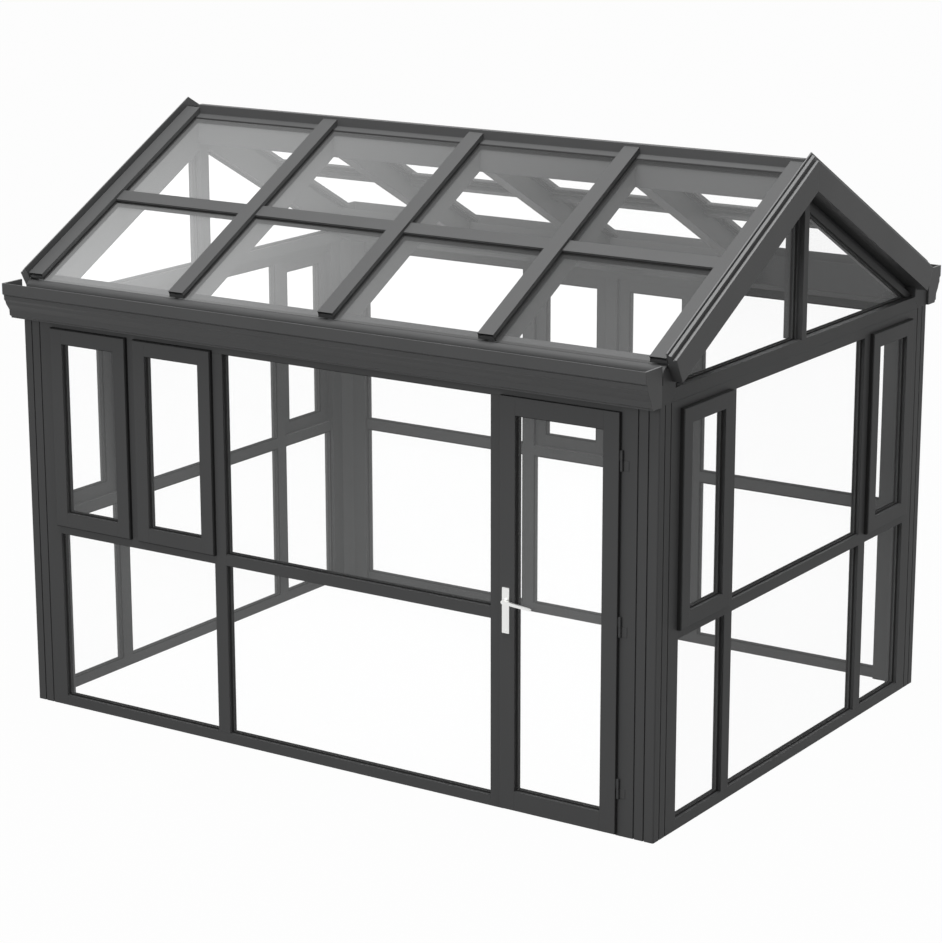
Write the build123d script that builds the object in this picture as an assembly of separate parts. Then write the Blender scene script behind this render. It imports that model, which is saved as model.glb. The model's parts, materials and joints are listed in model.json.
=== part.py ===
from build123d import *
import math
import os

# A glazed gable conservatory in painted aluminium: four corner posts, framed glass walls with
# outward-opening sashes, one hinged door, moulded gutters and a glazed gable roof.
# Millimetres. X runs along the front wall, Y from front to back, Z up.
# The origin is the middle of the footprint, on the ground.

# Walls
LENGTH = 4000.0
WIDTH = 2960.0
EAVES_HEIGHT = 2205.0
POST_WIDTH = 215.0
POST_LEG = 70.0
POST_CORNER_RADIUS = 9.0
POST_INNER_CHAMFER = 50.0
FLUTE_WIDTH = 7.0
FLUTE_DEPTH = 7.0
FLUTE_PLACES = (56.0, 113.0)
FRAME_FACE = 77.0
FRAME_DEPTH = 50.0
BASE_HEIGHT = 56.0
MID_HEIGHT = 1000.0
MID_FACE = 60.0
HEAD_FACE = 55.0
SASH_BAY = 1078.0
SIDE_SASH_BAY = 471.0

# Glass and its seat in the frames
GLASS_RECESS = 24.0
GLASS_THICKNESS = 20.0
GLASS_BITE = 12.0
GLASS_EDGE_CLEARANCE = 3.0

# Sashes, which lap over the frame from outside
SASH_FACE = 78.0
SASH_PROUD = 24.0
SASH_DEPTH = 50.0
SASH_LAP = 8.0
SASH_GLASS_RECESS = 24.0
SASH_CLEARANCE = 0.3

# Door
DOOR_OPENING = 662.0
DOOR_FACE = 88.0
DOOR_TOP_FACE = 92.0
DOOR_BOTTOM_FACE = 102.0
DOOR_THICKNESS = 50.0
DOOR_CLEARANCE = 5.0
DOOR_FREE_CLEARANCE = 8.0
DOOR_FLOOR_GAP = 12.0
HINGE_RADIUS = 6.5
HINGE_PIN_RADIUS = 3.0
HINGE_LENGTH = 100.0
HINGE_PLATE = 2.0
HINGE_PLATE_WIDTH = 36.0
HINGE_OFFSET = 8.5
HINGE_END = 238.0
HINGE_CLEARANCE = 0.05
KNUCKLE_GAP = 0.3
PLATE_WIDTH = 42.0
PLATE_HEIGHT = 237.0
PLATE_THICKNESS = 8.0
PLATE_CORNER = 3.0
HANDLE_HEIGHT = 1115.0
HANDLE_BACKSET = 40.0
PLATE_RISE = 50.0
NECK_RADIUS = 9.0
SPINDLE_RADIUS = 5.0
LEVER_STANDOFF = 18.0
LEVER_THICKNESS = 12.0
LEVER_HUB_RADIUS = 10.0
LEVER_TIP_RADIUS = 5.5
LEVER_LENGTH = 158.0
LEVER_DROOP = 15.0
LEVER_CLEARANCE = 0.3
TURN_STANDOFF = 12.0
TURN_THICKNESS = 12.0
TURN_REACH = 12.0

# Eaves and gutters
GUTTER_PROJECTION = 150.0
GUTTER_END = 11.0
GUTTER_HEIGHT = 200.0
GUTTER_WALL = 5.0
EAVES_BEAM_HEIGHT = 99.0
EAVES_BEAM_DEPTH = 150.0
EAVES_BEAM_FOOT = 100.0
EAVES_BEAM_SPLAY = 39.0
TROUGH_BACK = 30.0
NOSE_RADIUS = 40.0
GLASS_FOOT = 62.0

# Roof
ROOF_PITCH = 28.3
BAR_TOP_AT_WALL = 197.5
BAR_WIDTH = 93.0
BAR_HEIGHT = 36.0
BAR_WALL = 3.0
BAR_BAYS = 4
BAR_FOOT = 56.0
ROOF_GLASS = 24.0
RAFTER_WIDTH = 80.0
RAFTER_DEPTH = 110.0
BAR_WEB = 20.0
WEB_SETBACK = 60.0
TRANSOM_RISE = 757.0
TRANSOM_WIDTH = 85.0
TRANSOM_HEIGHT = 20.0
PURLIN_WIDTH = 60.0
PURLIN_DEPTH = 20.0
RIDGE_HALF = 22.0
RIDGE_RISE = 2.0
RIDGE_FLANGE = 55.0
RIDGE_FLANGE_HEIGHT = 4.0
RIDGE_ENDS = (76.0, 18.0)
RIDGE_BEAM_WIDTH = 100.0
VERGE_OVERHANG = 58.0
VERGE_DROP = 138.0
VERGE_FOOT = 52.0

# Gables
GABLE_DEPTH = 100.0
GABLE_NECK_DROP = 170.0
GABLE_DROP = 209.0
GABLE_RECESS = 32.0
GABLE_GLASS_RECESS = 44.0
TIE_HEIGHT = 68.0
TIE_DEPTH = 84.0
KING_BLADE_WIDTH = 52.0
KING_BLADE_DEPTH = 28.0

os.makedirs("parts", exist_ok=True)
HALF_X = LENGTH / 2
HALF_Y = WIDTH / 2
PITCH = math.radians(ROOF_PITCH)
MID_TOP = MID_HEIGHT + MID_FACE
HEAD_HEIGHT = EAVES_HEIGHT - HEAD_FACE
GUTTER_TOP = EAVES_HEIGHT + GUTTER_HEIGHT
EAVES_BEAM_TOP = EAVES_HEIGHT + EAVES_BEAM_HEIGHT
TIE_TOP = EAVES_HEIGHT + TIE_HEIGHT
ROOF_APEX = EAVES_HEIGHT + BAR_TOP_AT_WALL + HALF_Y * math.tan(PITCH)
UPPER_GLASS = ROOF_GLASS + BAR_HEIGHT


def block(a0, a1, b0, b1, c0, c1):
    """A rectangular solid between two corners."""
    return Pos((a0 + a1) / 2, (b0 + b1) / 2, (c0 + c1) / 2) * Box(a1 - a0, b1 - b0, c1 - c0)


def prism(points, start, end, plane):
    """A closed outline on a plane, extruded from start to end along the plane's normal."""
    face = make_face(Polyline(*points, close=True))
    return (plane.offset(start) * extrude(face, end - start))


def export(node, solids):
    """Writes one sub-part, one or more solids, as a STEP file."""
    shape = solids[0] if len(solids) == 1 else Compound(children=list(solids))
    export_step(shape, f"parts/{node}.step")


# Wall frames: a runs to the right seen from outside, d runs inwards, z up
def wall_frame(angle):
    reach = HALF_X if angle in (0, 180) else HALF_Y
    depth = HALF_Y if angle in (0, 180) else HALF_X
    return Rot(0, 0, angle) * Pos(-reach, -depth, 0)


FRONT, RIGHT, BACK, LEFT = (wall_frame(angle) for angle in (0, 90, 180, 270))


def bays(*parts):
    """Places bays side by side from the left post: each gives its kind, left and right."""
    placed, left = [], POST_WIDTH
    for kind, width in parts:
        placed.append((kind, left, left + width))
        left += width + FRAME_FACE
    return placed


FRONT_FIXED = LENGTH - 2 * POST_WIDTH - 2 * FRAME_FACE - SASH_BAY - DOOR_OPENING
BACK_FIXED = (LENGTH - 2 * POST_WIDTH - 2 * FRAME_FACE - SASH_BAY) / 2
SIDE_FIXED = WIDTH - 2 * POST_WIDTH - 2 * FRAME_FACE - 2 * SIDE_SASH_BAY
FRONT_BAYS = bays(("pair", SASH_BAY), ("fixed", FRONT_FIXED), ("door", DOOR_OPENING))
BACK_BAYS = bays(("fixed", BACK_FIXED), ("pair", SASH_BAY), ("fixed", BACK_FIXED))
SIDE_BAYS = bays(("sash", SIDE_SASH_BAY), ("fixed", SIDE_FIXED), ("sash", SIDE_SASH_BAY))


def glazed(wall):
    return [bay for bay in wall if bay[0] != "door"]


def pane(left, right, low, high, recess=GLASS_RECESS, grow=0.0):
    """A pane that fills an opening and reaches into its frame by the bite."""
    edge = GLASS_BITE + grow
    return block(left - edge, right + edge, recess, recess + GLASS_THICKNESS, low - edge, high + edge)


def fixed_panes(wall, grow=0.0):
    panes = [pane(left, right, BASE_HEIGHT, MID_HEIGHT, grow=grow) for _, left, right in glazed(wall)]
    panes += [pane(left, right, MID_TOP, HEAD_HEIGHT, grow=grow)
              for kind, left, right in wall if kind == "fixed"]
    return panes


def rebated(solid, wall):
    """Cuts the glazing grooves of a wall's fixed panes into one of its members."""
    for pocket in fixed_panes(wall, grow=GLASS_EDGE_CLEARANCE):
        solid = solid - pocket
    return solid


def sash_openings(wall):
    """The openings above the mid rail that hold an outward-opening sash."""
    openings = []
    for kind, left, right in wall:
        if kind == "sash":
            openings.append((left, right))
        if kind == "pair":
            middle = (left + right) / 2
            openings += [(left, middle - FRAME_FACE / 2), (middle + FRAME_FACE / 2, right)]
    return openings


def mullions(wall):
    """Uprights between bays and between paired sashes, without the door's jamb."""
    posts = []
    for (kind, left, right), after in zip(wall, wall[1:]):
        if after[0] != "door":
            posts.append(block(right, right + FRAME_FACE, 0, FRAME_DEPTH, BASE_HEIGHT, HEAD_HEIGHT))
    for kind, left, right in wall:
        if kind == "pair":
            middle = (left + right) / 2
            posts.append(block(middle - FRAME_FACE / 2, middle + FRAME_FACE / 2, 0, FRAME_DEPTH,
                               MID_TOP, HEAD_HEIGHT))
    return [rebated(post, wall) for post in posts]


def mid_rails(wall):
    return [rebated(block(left, right, 0, FRAME_DEPTH, MID_HEIGHT, MID_TOP), wall)
            for _, left, right in glazed(wall)]


def base_rail(wall):
    left, right = glazed(wall)[0][1], glazed(wall)[-1][2]
    return rebated(block(left, right, 0, FRAME_DEPTH, 0, BASE_HEIGHT), wall)


def head_rail(wall):
    left, right = wall[0][1], wall[-1][2]
    return rebated(block(left, right, 0, FRAME_DEPTH, HEAD_HEIGHT, EAVES_HEIGHT), wall)


def corner_post():
    """A fluted corner post with a rounded outer corner and a splayed inner one."""
    with BuildSketch() as plan:
        with BuildLine():
            Polyline((0, 0), (POST_WIDTH, 0), (POST_WIDTH, POST_LEG),
                     (POST_LEG + POST_INNER_CHAMFER, POST_LEG),
                     (POST_LEG, POST_LEG + POST_INNER_CHAMFER),
                     (POST_LEG, POST_WIDTH), (0, POST_WIDTH), close=True)
        make_face()
        fillet(plan.vertices().sort_by(lambda v: v.X + v.Y)[0], POST_CORNER_RADIUS)
        for place in FLUTE_PLACES:
            with Locations((place, FLUTE_DEPTH / 2)):
                Rectangle(FLUTE_WIDTH, FLUTE_DEPTH, mode=Mode.SUBTRACT)
            with Locations((FLUTE_DEPTH / 2, place)):
                Rectangle(FLUTE_DEPTH, FLUTE_WIDTH, mode=Mode.SUBTRACT)
    return extrude(plan.sketch, EAVES_HEIGHT)


def posts():
    """The four corner posts, each grooved for the panes of its two walls."""
    frames = {"front_left_post": (FRONT, FRONT_BAYS, LEFT, SIDE_BAYS),
              "front_right_post": (RIGHT, SIDE_BAYS, FRONT, FRONT_BAYS),
              "back_right_post": (BACK, BACK_BAYS, RIGHT, SIDE_BAYS),
              "back_left_post": (LEFT, SIDE_BAYS, BACK, BACK_BAYS)}
    made = {}
    for node, (frame, wall, other_frame, other_wall) in frames.items():
        post = frame * corner_post()
        for place, layout in ((frame, wall), (other_frame, other_wall)):
            for pocket in fixed_panes(layout, grow=GLASS_EDGE_CLEARANCE):
                post = post - place * pocket
        made[node] = [post]
    return made


# Sashes and door leaf: a lapping flange outside, a body inside the opening
def lapped(left, right, low, high, body_left, body_right, body_low, body_high, thickness, lap_back):
    """A stile or rail: its outer flange and, behind it, the body that enters the opening."""
    flange = block(left, right, -SASH_PROUD, -lap_back, low, high)
    body = block(body_left, body_right, -lap_back, thickness - SASH_PROUD, body_low, body_high)
    return flange + body


def sash(left, right, low=MID_TOP, high=HEAD_HEIGHT):
    """The stiles, rails and pane of one sash that laps over its opening."""
    gap = SASH_CLEARANCE
    outer = (left - SASH_LAP, right + SASH_LAP, low - SASH_LAP, high + SASH_LAP)
    inner = (left + gap, right - gap, low + gap, high - gap)
    glass = (outer[0] + SASH_FACE, outer[1] - SASH_FACE, outer[2] + SASH_FACE, outer[3] - SASH_FACE)
    recess = SASH_GLASS_RECESS - SASH_PROUD
    pocket = pane(*glass, recess=recess, grow=GLASS_EDGE_CLEARANCE)
    stiles = [lapped(outer[0], glass[0], outer[2], outer[3], inner[0], glass[0], inner[2], inner[3],
                     SASH_DEPTH, 0) - pocket,
              lapped(glass[1], outer[1], outer[2], outer[3], glass[1], inner[1], inner[2], inner[3],
                     SASH_DEPTH, 0) - pocket]
    rails = [lapped(glass[0], glass[1], outer[2], glass[2], glass[0], glass[1], inner[2], glass[2],
                    SASH_DEPTH, 0) - pocket,
             lapped(glass[0], glass[1], glass[3], outer[3], glass[0], glass[1], glass[3], inner[3],
                    SASH_DEPTH, 0) - pocket]
    return stiles, rails, pane(*glass, recess=recess)


def sashes():
    stiles, rails, glass = [], [], []
    walls = ((FRONT, FRONT_BAYS), (RIGHT, SIDE_BAYS), (BACK, BACK_BAYS), (LEFT, SIDE_BAYS))
    for frame, wall in walls:
        for left, right in sash_openings(wall):
            own_stiles, own_rails, own_glass = sash(left, right)
            stiles += [frame * part for part in own_stiles]
            rails += [frame * part for part in own_rails]
            glass.append(frame * own_glass)
    return {"sash_stiles": stiles, "sash_rails": rails, "sash_glass": glass}


DOOR_LEFT, DOOR_RIGHT = FRONT_BAYS[-1][1:]
LEAF_LEFT, LEAF_RIGHT = DOOR_LEFT - SASH_LAP, DOOR_RIGHT + SASH_LAP
LEAF_TOP = HEAD_HEIGHT + SASH_LAP
DOOR_GLASS = (LEAF_LEFT + DOOR_FACE, LEAF_RIGHT - DOOR_FACE,
              DOOR_FLOOR_GAP + DOOR_BOTTOM_FACE, LEAF_TOP - DOOR_TOP_FACE)
SPINDLE_AT = LEAF_LEFT + HANDLE_BACKSET
HINGE_LOW, HINGE_HIGH = DOOR_FLOOR_GAP + HINGE_END, LEAF_TOP - HINGE_END
HINGE_HEIGHTS = (HINGE_LOW, (HINGE_LOW + HINGE_HIGH) / 2, HINGE_HIGH)
HINGE_AT = (LEAF_RIGHT + HINGE_OFFSET, DOOR_CLEARANCE - SASH_PROUD + HINGE_PIN_RADIUS * 2 + 1)


def door_leaf():
    """The stiles, rails and pane of the hinged door."""
    gap = DOOR_CLEARANCE
    left, right, low, high = DOOR_GLASS
    body = (DOOR_LEFT + DOOR_FREE_CLEARANCE, DOOR_RIGHT - gap, DOOR_FLOOR_GAP, HEAD_HEIGHT - gap)
    recess = SASH_GLASS_RECESS - SASH_PROUD
    pocket = pane(*DOOR_GLASS, recess=recess, grow=GLASS_EDGE_CLEARANCE)
    bore = Pos(SPINDLE_AT, 0, HANDLE_HEIGHT) * Rot(90, 0, 0) * Cylinder(NECK_RADIUS, 4 * DOOR_THICKNESS)
    stiles = [lapped(LEAF_LEFT, left, DOOR_FLOOR_GAP, LEAF_TOP, body[0], left, body[2], body[3],
                     DOOR_THICKNESS, gap) - pocket - bore,
              lapped(right, LEAF_RIGHT, DOOR_FLOOR_GAP, LEAF_TOP, right, body[1], body[2], body[3],
                     DOOR_THICKNESS, gap) - pocket]
    rails = [lapped(left, right, DOOR_FLOOR_GAP, low, left, right, DOOR_FLOOR_GAP, low,
                    DOOR_THICKNESS, gap) - pocket,
             lapped(left, right, high, LEAF_TOP, left, right, high, body[3],
                    DOOR_THICKNESS, gap) - pocket]
    return stiles, rails, pane(*DOOR_GLASS, recess=recess)


def hinge_moving(height):
    """The upper knuckle and leaf plate of a lift-off hinge, bored for its pin."""
    x, y = HINGE_AT
    low, high = height + KNUCKLE_GAP, height + HINGE_LENGTH / 2
    knuckle = Pos(x, y, (low + high) / 2) * Cylinder(HINGE_RADIUS, high - low)
    plate = block(LEAF_RIGHT, x - HINGE_RADIUS + 1, y - HINGE_RADIUS, y + HINGE_RADIUS, low, high)
    bore = Pos(x, y, (low + high) / 2) * Cylinder(HINGE_PIN_RADIUS + HINGE_CLEARANCE, high - low)
    return knuckle + plate - bore


def hinge_fixed(height):
    """The lower knuckle with its pin, a web and the plate on the corner post."""
    x, y = HINGE_AT
    low = height - HINGE_LENGTH / 2
    knuckle = Pos(x, y, (low + height) / 2) * Cylinder(HINGE_RADIUS, height - low)
    pin = Pos(x, y, height) * Cylinder(HINGE_PIN_RADIUS, HINGE_LENGTH * 0.9)
    web = block(x - HINGE_PLATE, x + HINGE_PLATE, y, -HINGE_PLATE, low, height)
    plate = block(x - HINGE_PLATE, x + HINGE_PLATE_WIDTH, -HINGE_PLATE, 0, low, height)
    return knuckle + pin + web + plate


def handle_plate(outside):
    """A square-ended back plate, bored for the spindle's neck."""
    with BuildSketch(Plane.XZ) as outline:
        with Locations((SPINDLE_AT, HANDLE_HEIGHT - PLATE_RISE)):
            RectangleRounded(PLATE_WIDTH, PLATE_HEIGHT, PLATE_CORNER)
        with Locations((SPINDLE_AT, HANDLE_HEIGHT)):
            Circle(NECK_RADIUS + LEVER_CLEARANCE, mode=Mode.SUBTRACT)
    start = SASH_PROUD if outside else SASH_PROUD - DOOR_THICKNESS - PLATE_THICKNESS
    return Pos(0, -start, 0) * extrude(outline.sketch, PLATE_THICKNESS)


def spindle_rod(radius, start, end):
    """A round bar on the spindle's axis between two depths."""
    return Pos(SPINDLE_AT, (start + end) / 2, HANDLE_HEIGHT) * Rot(90, 0, 0) * Cylinder(radius, end - start)


def blade(discs, start, end):
    """A flat blade between two depths: the hull of discs given as across, up and radius."""
    with BuildSketch(Plane.XZ) as outline:
        for across, up, radius in discs:
            with Locations((SPINDLE_AT + across, HANDLE_HEIGHT + up)):
                Circle(radius)
        make_hull()
    return Pos(0, end, 0) * extrude(outline.sketch, end - start)


def lever():
    """The spindle with a tapered lever outside and a small thumb turn inside, as one turning piece."""
    front, back = -SASH_PROUD - PLATE_THICKNESS, DOOR_THICKNESS - SASH_PROUD + PLATE_THICKNESS
    lever_back, turn_front = front - LEVER_STANDOFF, back + TURN_STANDOFF
    bored = PLATE_THICKNESS / 2
    arm = [(0, 0, LEVER_HUB_RADIUS), (LEVER_LENGTH, -LEVER_DROOP, LEVER_TIP_RADIUS)]
    turn = [(0, TURN_REACH, NECK_RADIUS), (0, -TURN_REACH, NECK_RADIUS)]
    return (spindle_rod(SPINDLE_RADIUS, front, back) + spindle_rod(NECK_RADIUS, lever_back, front + bored)
            + blade(arm, lever_back - LEVER_THICKNESS, lever_back)
            + spindle_rod(NECK_RADIUS, back - bored, turn_front)
            + blade(turn, turn_front, turn_front + TURN_THICKNESS))


# Roof: a point at height v over the plane of the bars' tops, at y inwards from the front wall
def roof_z(y, v=0.0):
    return ROOF_APEX - (HALF_Y - y) * math.tan(PITCH) + v / math.cos(PITCH)


# Section planes seen along +X, so that outlines are given as (y, z)
SECTION = Plane(origin=(0, 0, 0), x_dir=(0, 1, 0), z_dir=(1, 0, 0))
SLOPE = Plane(origin=(0, 0, ROOF_APEX), x_dir=(1, 0, 0),
              z_dir=(0, -math.sin(PITCH), math.cos(PITCH)))
RIDGE_CUT = block(-LENGTH, LENGTH, 0, 2 * WIDTH, 0, 2 * ROOF_APEX)


def section(points, start, end):
    """Extrudes an outline of (y inwards from the front wall's face, z) along X."""
    return prism([(y - HALF_Y, z) for y, z in points], start, end, SECTION)


def on_slope(x0, x1, s0, s1, v0, v1):
    """A block on the front slope: s runs down from the ridge, v up from the bars' tops."""
    return SLOPE.location * block(x0, x1, -s1, -s0, v0, v1)


def slope_run(y, v=0.0):
    """The distance down the slope of a point y inwards from the wall, at height v."""
    return (HALF_Y - y - v * math.sin(PITCH)) / math.cos(PITCH)


def both_slopes(solids):
    return list(solids) + [mirror(part, Plane.XZ) for part in solids]


def both_gables(solids):
    return list(solids) + [mirror(part, Plane.YZ) for part in solids]


def eaves_beam():
    """The beam on the wall head: a rounded nose over the gutter and a back edge that carries the glass."""
    seat = roof_z(EAVES_BEAM_DEPTH, -UPPER_GLASS)
    outline = [(0, EAVES_HEIGHT), (0, EAVES_BEAM_TOP), (TROUGH_BACK, EAVES_BEAM_TOP),
               (TROUGH_BACK, roof_z(TROUGH_BACK, -BAR_HEIGHT)),
               (GLASS_FOOT, roof_z(GLASS_FOOT, -BAR_HEIGHT)),
               (GLASS_FOOT, roof_z(GLASS_FOOT, -UPPER_GLASS)),
               (EAVES_BEAM_DEPTH, seat), (EAVES_BEAM_DEPTH, EAVES_HEIGHT + EAVES_BEAM_SPLAY),
               (EAVES_BEAM_FOOT, EAVES_HEIGHT)]
    beam = section(outline, -HALF_X, HALF_X)
    brow = (0, TROUGH_BACK - HALF_Y, roof_z(TROUGH_BACK, -BAR_HEIGHT))
    return fillet(beam.edges().filter_by(Axis.X).sort_by_distance(brow)[0], NOSE_RADIUS)


def gutter():
    """A moulded box gutter: fascia, two steps, a cove and a lower band, with closed ends."""
    p = GUTTER_PROJECTION
    outer = [(0, EAVES_HEIGHT), (65 - p, EAVES_HEIGHT), (65 - p, EAVES_HEIGHT + 8),
             (52 - p, EAVES_HEIGHT + 15), (50 - p, EAVES_HEIGHT + 47),
             (28 - p, EAVES_HEIGHT + 79), (22 - p, EAVES_HEIGHT + 96),
             (12 - p, EAVES_HEIGHT + 109), (12 - p, EAVES_HEIGHT + 131),
             (-p, EAVES_HEIGHT + 140), (-p, GUTTER_TOP)]
    trough = [(GUTTER_WALL - p, GUTTER_TOP), (GUTTER_WALL - p, EAVES_HEIGHT + 142),
              (65 - p, EAVES_HEIGHT + 55), (75 - p, EAVES_HEIGHT + 25),
              (-GUTTER_WALL, EAVES_HEIGHT + 25), (-GUTTER_WALL, EAVES_BEAM_TOP), (0, EAVES_BEAM_TOP)]
    channel = section(outer + trough, -HALF_X, HALF_X)
    plates = [section(outer + [(0, GUTTER_TOP)], start, start + GUTTER_END)
              for start in (-HALF_X - GUTTER_END, HALF_X)]
    return channel + plates[0] + plates[1]


def tie_beam():
    """The right wall's header between the eaves beams, grooved on top for the gable's panes."""
    outline = [(EAVES_BEAM_FOOT, EAVES_HEIGHT), (WIDTH - EAVES_BEAM_FOOT, EAVES_HEIGHT),
               (WIDTH - EAVES_BEAM_DEPTH, EAVES_HEIGHT + EAVES_BEAM_SPLAY),
               (WIDTH - EAVES_BEAM_DEPTH, TIE_TOP), (EAVES_BEAM_DEPTH, TIE_TOP),
               (EAVES_BEAM_DEPTH, EAVES_HEIGHT + EAVES_BEAM_SPLAY)]
    beam = section(outline, HALF_X - TIE_DEPTH, HALF_X)
    for pocket in both_slopes([gable_pane(grow=GLASS_EDGE_CLEARANCE)]):
        beam = beam - pocket
    return beam


BAR_PITCH = (LENGTH - BAR_WIDTH) / BAR_BAYS
BAR_PLACES = [-HALF_X + BAR_WIDTH / 2 + BAR_PITCH * i for i in range(BAR_BAYS + 1)]
MID_SLOPE = slope_run(BAR_FOOT) - TRANSOM_RISE
WEB_END = slope_run(GLASS_FOOT, -BAR_WALL) - WEB_SETBACK


def rafter(x):
    """A rafter from the eaves beam to the ridge beam, with the web that spaces the panes."""
    low, high = EAVES_BEAM_DEPTH, HALF_Y - RIDGE_BEAM_WIDTH / 2
    body = section([(low, roof_z(low, -UPPER_GLASS - RAFTER_DEPTH)), (low, roof_z(low, -UPPER_GLASS)),
                    (high, roof_z(high, -UPPER_GLASS)), (high, roof_z(high, -UPPER_GLASS - RAFTER_DEPTH))],
                   x - RAFTER_WIDTH / 2, x + RAFTER_WIDTH / 2)
    web = on_slope(x - BAR_WEB / 2, x + BAR_WEB / 2, RIDGE_FLANGE, WEB_END, -UPPER_GLASS, -BAR_WALL)
    return body + web


def glazing_cap(x):
    """An open-ended channel that clamps the panes over a rafter."""
    half = BAR_WIDTH / 2
    upper = slope_run(HALF_Y - RIDGE_HALF)
    cap = on_slope(x - half, x + half, upper, slope_run(BAR_FOOT), -BAR_HEIGHT, 0)
    hollow = on_slope(x - half + BAR_WALL, x + half - BAR_WALL, -WIDTH, WIDTH, -2 * BAR_HEIGHT, -BAR_WALL)
    return cap - hollow - block(-LENGTH, LENGTH, -RIDGE_HALF, WIDTH, 0, 2 * ROOF_APEX)


def transom(x0, x1):
    """A mid-slope bar: its cap over the joint of two panes and the purlin under it."""
    inner_face = HALF_X - GABLE_DEPTH
    start, end = max(x0 + RAFTER_WIDTH / 2, -inner_face), min(x1 - RAFTER_WIDTH / 2, inner_face)
    cap = on_slope(x0 + BAR_WIDTH / 2, x1 - BAR_WIDTH / 2, MID_SLOPE - TRANSOM_WIDTH / 2,
                   MID_SLOPE + TRANSOM_WIDTH / 2, -BAR_HEIGHT, TRANSOM_HEIGHT - BAR_HEIGHT)
    web = on_slope(start, end, MID_SLOPE - BAR_WEB / 2, MID_SLOPE + BAR_WEB / 2,
                   -UPPER_GLASS, -BAR_HEIGHT)
    purlin = on_slope(start, end, MID_SLOPE - PURLIN_WIDTH / 2, MID_SLOPE + PURLIN_WIDTH / 2,
                      -UPPER_GLASS - PURLIN_DEPTH, -UPPER_GLASS)
    return cap + web + purlin


def roof_panes(x0, x1):
    """The upper and lower pane of one bay of the front slope."""
    gap = BAR_WEB / 2 + GLASS_EDGE_CLEARANCE
    spans = ((RIDGE_HALF + UPPER_GLASS * math.tan(PITCH), MID_SLOPE - gap),
             (MID_SLOPE + gap, slope_run(GLASS_FOOT + GLASS_EDGE_CLEARANCE, -BAR_HEIGHT)))
    return [on_slope(x0 + gap, x1 - gap, top, foot, -UPPER_GLASS, -BAR_HEIGHT) for top, foot in spans]


def ridge_beam():
    """The beam under the ridge, as deep as the rafters that meet it."""
    half = RIDGE_BEAM_WIDTH / 2
    shoulder = roof_z(HALF_Y - half, -UPPER_GLASS)
    bottom = roof_z(HALF_Y - half, -UPPER_GLASS - RAFTER_DEPTH)
    outline = [(HALF_Y - half, bottom), (HALF_Y + half, bottom),
               (HALF_Y + half, shoulder), (HALF_Y, roof_z(HALF_Y, -UPPER_GLASS)),
               (HALF_Y - half, shoulder)]
    return section(outline, -HALF_X + GABLE_DEPTH, HALF_X - GABLE_DEPTH)


def ridge_cap():
    """The ridge's top hat, notched where the glazing caps run up to it."""
    def flank(side):
        base = [(RIDGE_HALF, -BAR_HEIGHT), (RIDGE_FLANGE, -BAR_HEIGHT),
                (RIDGE_FLANGE, RIDGE_FLANGE_HEIGHT - BAR_HEIGHT),
                (RIDGE_HALF, RIDGE_FLANGE_HEIGHT - BAR_HEIGHT)]
        return [(HALF_Y - side * y, roof_z(HALF_Y - y, v)) for y, v in base]
    left, right = flank(1), flank(-1)
    top = ROOF_APEX + RIDGE_RISE
    outline = [left[1], left[2], left[3], (HALF_Y - RIDGE_HALF, top),
               (HALF_Y + RIDGE_HALF, top), right[3], right[2], right[1],
               (HALF_Y, roof_z(HALF_Y, -BAR_HEIGHT))]
    cap = section(outline, RIDGE_ENDS[0] - HALF_X, HALF_X - RIDGE_ENDS[1])
    for x in BAR_PLACES:
        notch = block(x - BAR_WIDTH / 2, x + BAR_WIDTH / 2, RIDGE_HALF, 2 * RIDGE_FLANGE, 0, 2 * ROOF_APEX)
        cap = cap - notch - mirror(notch, Plane.XZ)
    return cap


def king_post():
    """The gable's middle upright from the tie beam to the ridge, rebated outside for its beads."""
    half, blade = FRAME_FACE / 2, KING_BLADE_WIDTH / 2
    shoulder = roof_z(HALF_Y - half, -UPPER_GLASS)
    outline = [(HALF_Y - half, TIE_TOP), (HALF_Y + half, TIE_TOP), (HALF_Y + half, shoulder),
               (HALF_Y, roof_z(HALF_Y, -UPPER_GLASS)), (HALF_Y - half, shoulder)]
    post = section(outline, HALF_X - GABLE_DEPTH, HALF_X)
    rebate = section([(HALF_Y - half, TIE_TOP), (HALF_Y - blade, TIE_TOP),
                      (HALF_Y - blade, roof_z(HALF_Y - blade, -VERGE_DROP)),
                      (HALF_Y - half, roof_z(HALF_Y - half, -VERGE_DROP))],
                     HALF_X - KING_BLADE_DEPTH, HALF_X)
    for cut in both_slopes([rebate, gable_pane(grow=GLASS_EDGE_CLEARANCE)]):
        post = post - cut
    return post


def gable_strip(top, bottom, inner, outer):
    """A length of the front half's sloping bar, between two drops and two depths from the wall's face."""
    low, high = EAVES_BEAM_DEPTH, HALF_Y - FRAME_FACE / 2
    outline = [(low, roof_z(low, -bottom)), (low, roof_z(low, -top)),
               (high, roof_z(high, -top)), (high, roof_z(high, -bottom))]
    return section(outline, HALF_X - inner, HALF_X - outer)


def gable_corner(edge=0.0):
    """How far in a gable pane's lower edge meets its sloping one, with the edge that the frames hide."""
    return (TIE_TOP - edge - roof_z(0, edge - GABLE_DROP)) / math.tan(PITCH)


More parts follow.
